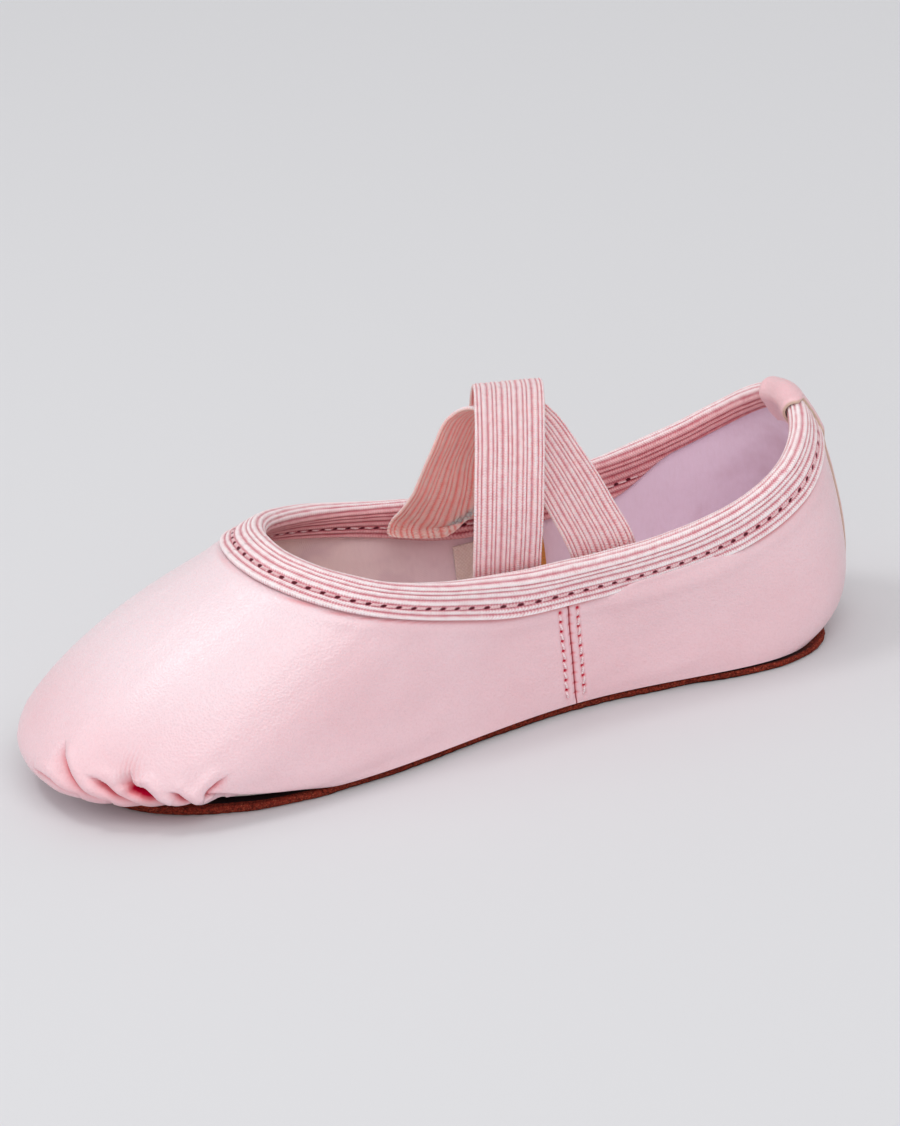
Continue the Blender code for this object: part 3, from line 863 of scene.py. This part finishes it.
def binding():
    """The elastic folded over the whole topline, ribbed, with a row of needle holes on each leg."""
    d, a, b = wrap_profile(OUTSIDE, INSIDE, BINDING_DEPTH, BINDING_DEPTH, 0.135)
    count = 1080
    us = station_at(np.arange(count) * COLLAR_LENGTH / count)
    s = np.broadcast_to(length_at(us), (len(d), count))
    dd = np.broadcast_to(d[:, None], s.shape)
    total = d[-1]
    # ribs run evenly along the outer face, which is longer than the fold round the edge
    radius = (OUTSIDE - INSIDE) / 2
    stretch = (radius + ELASTIC * 0.8) / radius
    outer_face = dd + np.clip(dd - a, 0, b) * (stretch - 1)
    middle = a + b * stretch / 2
    wander = 0.10 * low_noise(s, dd * 0, 31, 40) + 0.06 * low_noise(s, dd * 0, 32, 9)
    rib = rib_height(outer_face - middle + wander)
    leg = inner_leg(us)[None]
    edge = np.clip(np.minimum(dd, leg - BEAD_DROP - (dd - a - b)) / 0.35, 0, 1)
    thick = (ELASTIC - 0.42 + 0.42 * rib) * (0.55 + 0.45 * np.sqrt(edge))
    # the stitched row draws the elastic in and leaves a hole every few millimetres
    stitched_inside = (leg > STITCH_DROP + 1.0) * 1.0
    out_row = BINDING_DEPTH - STITCH_DROP
    in_row = total - out_row
    pulled = bump(dd, out_row, 0.75) + bump(dd, in_row, 0.75) * stitched_inside
    row = np.minimum(np.abs(dd - out_row), np.abs(dd - in_row) + 9 * (1 - stitched_inside))
    hole = 1 - np.hypot(to_nearest(s, STITCH_PITCH) / 0.62, row / 0.46)
    bulge = 0.20 * low_noise(s, dd * 2.0, 33, 24) * np.sin(np.clip(dd / total, 0, 1) * math.pi)
    # where the leather lies over its lower edge the elastic is pressed flat
    hidden = smooth(leather_over_binding(us), 0.2, 0.8)[None] * smooth(dd, 3.0, 1.6)
    extra = (thick + bulge) * (1 - 0.45 * hidden) - 0.16 * pulled - 0.60 * np.clip(hole, 0, 1)
    extra += 0.06 * pulled * np.cos(2 * math.pi * s / STITCH_PITCH)
    # the elastic is pressed thinner under the leather tab at the heel
    under_tab = bump((us - HEEL_SEAM) * speed(us, 4.0), 0, 6.5)[None]
    extra *= 1 - 0.45 * under_tab * (1 - smooth(dd, a + b * 0.4, a + b * 0.9))
    face, base, out = wrap_points(us, d, a, b, OUTSIDE, INSIDE, extra, leg)
    back = out_from(base, out, 0.05 + np.minimum(bulge, 0) - 0.25 * hidden)
    few = np.unique(np.linspace(0, len(d) - 1, 30).astype(int))
    # painted shade: the inner face of the binding takes the darker inside colours
    painted_shade_inside = smooth(dd, a + b * 0.55, a + b)
    zero = np.zeros(s.shape)
    attributes = {"rib": (rib * (1 - 0.35 * pulled), zero + 0.5), "along": (s, s), "across": (outer_face, dd),
                  "hole": (np.clip(hole, -1, 1), zero - 1), "face": (painted_shade_inside, zero)}
    place(shell("collar_binding_elastic", face, back[few], elastic, True,
                       {k: (p, q[few]) for k, (p, q) in attributes.items()}),
                 "collar_binding")


binding()


def collar_stitches():
    """A lock stitch every 3 mm: a short thread lies between two holes, outside and inside."""
    paths = []
    for side, offset in ((1, OUTSIDE + ELASTIC - 0.30), (-1, INSIDE - ELASTIC + 0.30)):
        for k in range(int(COLLAR_LENGTH / STITCH_PITCH)):
            s = (k + np.linspace(0.10, 0.90, 7)) * STITCH_PITCH
            u = station_at(s)
            if side == 1 and abs((u[3] % AROUND) - HEEL_SEAM) * speed(u[3], 3.6) < TAB_HALF_WIDTH:
                continue
            if side == -1 and inner_leg(u[3]) < STITCH_DROP + 1.0:
                continue
            point, normal, up = last_frame(u, below_topline(u, STITCH_DROP))[:3]
            arch = np.sin(np.linspace(0, math.pi, 7)) ** 0.6 * 0.40 - 0.32
            path = out_from(point, normal, offset + side * arch)
            paths.append(out_from(path, up, np.linspace(-0.12, 0.12, 7)))
    place(tubes("collar_stitches", paths, 0.21, pink_thread), "collar_stitching")


collar_stitches()

# ------ back strip and heel tab


def heel_rate(v):
    """Millimetres per unit of u beside the heel seam."""
    return np.linalg.norm(last(HEEL_SEAM + 0.1, v) - last(HEEL_SEAM, v), axis=-1) / 0.1


# Rows of points; how much sooner the tab ends than in the CAD; how far the strip is drawn in
HEEL_ROWS, BRIDGE_ROWS = 110, 6
TAB_TRIM, NIP = 3.5, 1.3


def strip_and_tab():
    """One leather strip: up the heel seam, over the collar, and down inside as a wider tab."""
    across = np.linspace(-1, 1, 81)
    top_v = float(below_topline(HEEL_SEAM, BINDING_DEPTH + 2.5))
    v = STRIP_START + (top_v - STRIP_START) * np.linspace(0, 1, HEEL_ROWS)
    u = HEEL_SEAM + across[None] * (STRIP_HALF_WIDTH / heel_rate(v))[:, None]
    vv = np.broadcast_to(v[:, None], u.shape)
    point, normal = last_frame(u, vv)[:2]
    relief = upper_relief(u, vv)[0] + collar_pull(drop_of(u, vv))
    low_base = out_from(point, normal, relief + 0.03)
    over, inside = GAP + ELASTIC * 0.55 + 0.05, INSIDE - ELASTIC - 0.12
    d, a, b = wrap_profile(over, inside, BINDING_DEPTH + 0.6, TAB_DROP_INSIDE - TAB_TRIM, 0.25)
    # drawn in a little below the collar, full width on top, rounded at the end
    spread = TAB_HALF_WIDTH - STRIP_HALF_WIDTH + NIP
    half = STRIP_HALF_WIDTH - NIP * smooth(d, 0, 3.5) + spread * smooth(d, a - 0.2, a + 2.2)
    half = half - 1.2 * smooth(d, a + b + 2.5, d[-1]) ** 2
    us = HEEL_SEAM + across[None] * (half / heel_rate(4.0))[:, None]
    lift = 0.10 + 0.30 * smooth(np.abs(across), 0.6, 1.0)
    arch = np.sin(np.clip((d[:, None] - a) / b, 0, 1) * math.pi) * lift[None]
    tab_base, _, out = wrap_points(us, d, a, b, over, inside, arch)
    # a few rows bridge from the heel to the folded part
    t = np.linspace(0, 1, BRIDGE_ROWS + 2)[1:-1, None, None]
    bridge = low_base[-1:] * (1 - t) + tab_base[:1] * t
    base = np.concatenate([low_base, bridge, tab_base])
    out = np.concatenate([normal, unit(normal[-1:] * (1 - t) + out[:1] * t), out])
    run = run_along(base[:, 40])
    widths = np.concatenate([np.full(HEEL_ROWS + BRIDGE_ROWS, STRIP_HALF_WIDTH), half])
    xx = across[None] * widths[:, None]
    yy = np.broadcast_to(run[:, None], xx.shape)
    inset = widths[:, None] - np.abs(xx)
    thick = LEATHER * (0.42 + 0.50 * np.sqrt(np.clip(inset / 1.1, 0, 1)))
    thick[:HEEL_ROWS] *= 0.8
    turn = run[HEEL_ROWS + BRIDGE_ROWS] + a + b
    puff = 0.12 * low_noise(xx, yy, 41, 12) + 0.10 * bump(xx, 0, 3)
    # soft folds where the tab turns in over the collar
    puff -= 0.30 * bump(yy, turn + 1.0, 1.3) * bump(xx, -1.0, 3.5)
    puff -= 0.22 * bump(yy, turn - 2.2, 1.0) * bump(xx, 2.5, 3.0)
    thick = thick + puff * np.clip(inset / 1.0, 0, 1)
    zero = np.zeros(xx.shape)
    attributes = {"painted_shade": (zero, zero), "raw_edge": (smooth(inset, 0.30, 0.08), zero + 1.0),
                  "pale": (zero, zero)}
    piece = shell("back_strip_leather", out_from(base, out, thick), base + out * 0.02, strip_leather,
                  False, attributes, sharp=60)
    place(piece, "back_strip")


strip_and_tab()

# ------ side seams


def seam_tape(name, seam, node):
    """Ribbed tape down the inside of the lining behind a side seam, hemmed at both edges, with painted shade
    and warm reflection along one edge.
    """
    depth = -INSIDE
    top_v = float(below_topline(seam, BINDING_DEPTH + 0.8))
    v = np.linspace(0.7, top_v, 90)
    across = np.linspace(-1, 1, 81)
    u = seam + across[None] * SEAM_TAPE_WIDTH / 2 / speed(seam, v)[:, None]
    vv = np.broadcast_to(v[:, None], u.shape)
    point, normal = last_frame(u, vv)[:2]
    drop = drop_of(u, vv)
    xx = np.broadcast_to(across * SEAM_TAPE_WIDTH / 2, u.shape)
    rib = 0.5 + 0.5 * np.cos(2 * math.pi * drop / 0.95)
    hem = smooth(np.abs(xx), 8.4, 8.9)
    wave = 0.18 * low_noise(xx, drop, 51, 9)
    thick = TAPE * 0.75 + 0.16 * rib + 0.12 * hem
    face = out_from(point, -normal, depth + thick + np.maximum(wave, -0.1))
    back = out_from(point, -normal, depth + np.maximum(wave, 0))
    # painted shade and warm reflection: an ochre band along one edge
    painted_edge_shade = smooth(xx if seam < HEEL_SEAM else -xx, 8.5, 8.7)
    attributes = {"along": (drop, drop), "across": (xx, xx), "hem": (painted_edge_shade, painted_edge_shade)}
    place(shell(name, back, face, tape_cloth, False, attributes, sharp=60), node)


def seam_stitches(name, seam, side, node):
    """Short lock stitches down one row beside a side seam."""
    paths = []
    top = np.interp(float(below_topline(seam, BINDING_DEPTH + 0.4)), SEAM_V, SEAM_RUN)
    for k in range(int(top / SEAM_PITCH)):
        q = np.interp((k + np.linspace(0.12, 0.88, 7)) * SEAM_PITCH, SEAM_RUN, SEAM_V)
        jitter = RNG.normal(0, 0.05)
        u = seam + side * (SEAM_ROW + jitter) / speed(seam, q)
        point, normal, _, along = last_frame(u, q)
        relief = upper_relief(u, q)[0] + seam_relief(u, q)
        arch = np.sin(np.linspace(0, math.pi, 7)) ** 0.6 * 0.50 - 0.20
        lean = np.linspace(-0.21, 0.21, 7) * side
        paths.append(out_from(out_from(point, normal, relief + arch), along, lean))
    place(tubes(name, paths, 0.26, seam_thread), node)


for side, seam in (("left", SIDE_SEAM), ("right", AROUND - SIDE_SEAM)):
    seam_tape("side_seam_tape_" + side + "_cloth", seam, "side_seam_tape_" + side)
    toward_toe = -1 if side == "left" else 1
    for row, sign in (("front", toward_toe), ("rear", -toward_toe)):
        node = f"side_seam_stitching_{side}_{row}"
        seam_stitches(node.replace("stitching", "stitches"), seam, sign, node)

# ------ sole and sock


ROUND_EDGE = 0.35


def plate(name, margin, low, high, material, node, wobble, seed):
    """Flat piece of rings from the middle of the underside, round the edge, to the middle of the top."""
    count = 720
    u = np.arange(count) * AROUND / count
    along = unit(last(u + 0.01, 0) - last(u - 0.01, 0))
    out = np.stack([along[:, 1], -along[:, 0], np.zeros(count)], -1)
    s = u * 24.0
    waver = wobble * (low_noise(s, s * 0, seed, 17) + 0.5 * low_noise(s, s * 0, seed + 1, 3.1))
    around = np.abs(from_toe(u))
    edge = out_from(last(u, 0), out, np.interp(around, np.arange(9), margin) + waver)
    middle = np.array([14.0, 0, 0])
    waist = smooth(around, 2.7, 3.2) * (1 - smooth(around, 6.9, 7.4))
    rings, dark = [], []

    def ring(spots, height, painted_sole_shade):
        rings.append(np.column_stack([spots[:, :2], np.full(count, height)]))
        dark.append(np.broadcast_to(painted_sole_shade, count))

    shares = np.concatenate([np.linspace(0.0, 0.94, 34), np.linspace(0.955, 0.99, 6)])
    for share in shares:
        ring(middle + (edge - middle) * share, low, 0.0)
    # painted shade: the top under the upper, and along the waist the whole top and the upper part of the rim,
    # are marked dark
    for degrees in np.linspace(-90, 90, 13):
        turn = math.cos(math.radians(degrees))
        flare = 0.12 * low_noise(np.arange(count) * 0.53, np.full(count, degrees * 0.05), seed + 5, 2.4)
        rim = out_from(edge, out, flare * turn - ROUND_EDGE * (1 - turn))
        ring(rim, low + (high - low) * (degrees + 90) / 180, max(0.0, (degrees - 50) / 40) * waist)
    for share in shares[::-1]:
        ring(middle + (edge - middle) * share, high, np.maximum(float(share < 0.965), waist))
    rings = np.array(rings)
    attributes = [("dark", dark), ("along", rings[..., 0]), ("across", rings[..., 1])]
    faces = grid_faces(len(rings), count, False, True).tolist()
    obj = mesh_object(name, rings, faces, material, attributes, sharp=70)
    bm = bmesh.new()
    bm.from_mesh(obj.data)
    bmesh.ops.remove_doubles(bm, verts=bm.verts, dist=1e-7)
    bm.to_mesh(obj.data)
    bm.free()
    place(obj, node)


plate("outsole_suede", SOLE_MARGIN, 0.0, SOLE_THICKNESS, suede, "outsole", 0.30, 61)
plate("insole_sock", [-2.4] * 9, SOLE_THICKNESS + 0.5, SOLE_THICKNESS + 2.1, sock, "insole",
      0.1, 71)

# ------ crossed straps


def smooth_path(points, steps):
    """Catmull-Rom curve through the points."""
    points = [np.array(p, float) for p in points]
    ends = [points[0] * 2 - points[1]] + points + [points[-1] * 2 - points[-2]]
    path = []
    for a, b, c, d in zip(ends, ends[1:], ends[2:], ends[3:]):
        for k in range(steps):
            t = k / steps
            path.append((b * 2 + (c - a) * t + (a * 2 - b * 5 + c * 4 - d) * t * t
                         + (b * 3 - a - c * 3 + d) * t ** 3) * 0.5)
    return np.array(path + [points[-1]])


def strap(name, path, node, seed, tail_cut, flare):
    """Ribbed elastic along a path of (x, y, z, turn in degrees)."""
    points = smooth_path(path, 24)
    run = run_along(points[:, :3])
    even = np.linspace(0, run[-1], 260)
    points = np.stack([np.interp(even, run, points[:, k]) for k in range(4)], -1)
    centre, turn = points[:, :3], np.radians(points[:, 3])[:, None]
    tangent = unit(np.gradient(centre, axis=0))
    level = unit(np.array([1.0, 0, 0]) - tangent * tangent[:, :1])
    across = level * np.cos(turn) + np.cross(tangent, level) * np.sin(turn)
    normal = np.cross(across, tangent)
    w = np.linspace(-STRAP_WIDTH / 2, STRAP_WIDTH / 2, 157)
    ww = np.broadcast_to(w, (len(centre), len(w)))
    ss = np.broadcast_to(even[:, None], ww.shape)
    wander = 0.07 * low_noise(ss, ww * 0, seed, 22)
    rib = rib_height(ww + wander, STRAP_WIDTH / 14.0)
    edge = np.sqrt(np.clip((STRAP_WIDTH / 2 - np.abs(ww)) / 0.4, 0, 1))
    half = (0.20 + 0.30 * rib) * (0.35 + 0.65 * edge)
    ruffle = 0.10 * low_noise(ss, ww, seed + 3, 15)
    # the far end fans out toward the heel and inward
    fan = smooth(ss, run[-1] - 26, run[-1] - 5) * smooth(ww, -6.0, 7.5) * flare
    across, normal = across[:, None], normal[:, None]
    spot = out_from(out_from(centre[:, None], across, ww + fan), normal, ruffle - 0.55 * fan)
    # the last millimetres are cut on a curve, so slide the end rows back along the strap
    slide = tail_cut(ww) * smooth(ss, run[-1] - 14, run[-1])
    spot = out_from(spot, -tangent[:, None], slide)
    zero = np.zeros(ww.shape)
    # painted light: the inner side takes the brighter coral inside colours
    attributes = {"rib": (rib, rib), "along": (ss, ss), "across": (ww, ww),
                  "hole": (zero - 1, zero - 1), "face": (zero, zero + 1.0)}
    obj = shell(name, out_from(spot, normal, half), out_from(spot, -normal, half), strap_elastic,
                False, attributes, sharp=75)
    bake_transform(obj)
    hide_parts(node)


strap("strap_over_elastic", OVER_PATH, "strap_over", 81, lambda w: w * 0, 0.0)
strap("strap_under_elastic", UNDER_PATH, "strap_under", 91,
      lambda w: 2.0 + 0.9 * (w / 7.5) ** 2 + 4.2 * smooth(w, 1.5, 7.5), 4.0)

# ------ stage, light and camera


def floor():
    """A pale floor just under the sole."""
    mesh = bpy.data.meshes.new("floor")
    size = 6.0
    corners = [(-size, -size, 0), (size, -size, 0), (size, size, 0), (-size, size, 0)]
    mesh.from_pydata(corners, [], [(0, 1, 2, 3)])
    pale = Nodes("pale_floor")
    pale.finish(rgb(217, 217, 220), 0.85, Specular_IOR_Level=0.1)
    obj = link("floor", mesh, pale.material)
    obj.location.z = -0.0002


floor()


def softbox(name, where, size, power):
    """Rectangular area light turned toward the shoe."""
    light = bpy.data.lights.new(name, "AREA")
    light.shape = "RECTANGLE"
    light.size, light.size_y = size
    light.energy = power
    obj = bpy.data.objects.new(name, light)
    bpy.context.scene.collection.objects.link(obj)
    obj.location = where
    obj.rotation_mode = "QUATERNION"
    obj.rotation_quaternion = (Vector(where) - Vector((0.0, 0.0, 0.03))).to_track_quat("Z", "Y")


softbox("overhead_softbox", (-0.42, 0.10, 1.05), (0.25, 0.18), 1.7)
softbox("front_fill", (0.0, -2.05, 2.40), (2.2, 1.6), 29.0)
softbox("ceiling_fill", (0.0, 0.3, 2.4), (1.2, 1.2), 2.8)
softbox("low_fill", (-0.9, -1.4, 0.35), (0.9, 0.6), 3.0)
softbox("toe_fill", (-1.7, 0.5, 1.0), (1.2, 1.0), 5.0)

world = bpy.data.worlds.new("studio")
world.use_nodes = True
sky = world.node_tree.nodes["Background"].inputs
sky["Color"].default_value = (1.0, 1.0, 1.0, 1)
sky["Strength"].default_value = 0.60
bpy.context.scene.world = world
bpy.context.scene.view_settings.view_transform = "Standard"

AZIMUTH, ELEVATION, ROLL = math.radians(17.85), math.radians(23.35), math.radians(5.75)
DISTANCE, VIEW_WIDTH = 1.125, 0.19226
TARGET = Vector((0.00354, 0.0, 0.03128))


def camera():
    """Looks at TARGET from the near side and a little above."""
    data = bpy.data.cameras.new("camera")
    data.sensor_fit = "HORIZONTAL"
    data.sensor_width = 36
    data.lens = 36 * DISTANCE / VIEW_WIDTH
    data.clip_start, data.clip_end = 0.05, 20
    obj = bpy.data.objects.new("camera", data)
    bpy.context.scene.collection.objects.link(obj)
    turn = Matrix.Rotation(-AZIMUTH, 4, "Z") @ Matrix.Rotation(math.pi / 2 - ELEVATION, 4, "X")
    away = Matrix.Translation((0, 0, DISTANCE))
    obj.matrix_world = Matrix.Translation(TARGET) @ turn @ Matrix.Rotation(-ROLL, 4, "Z") @ away
    bpy.context.scene.camera = obj


camera()
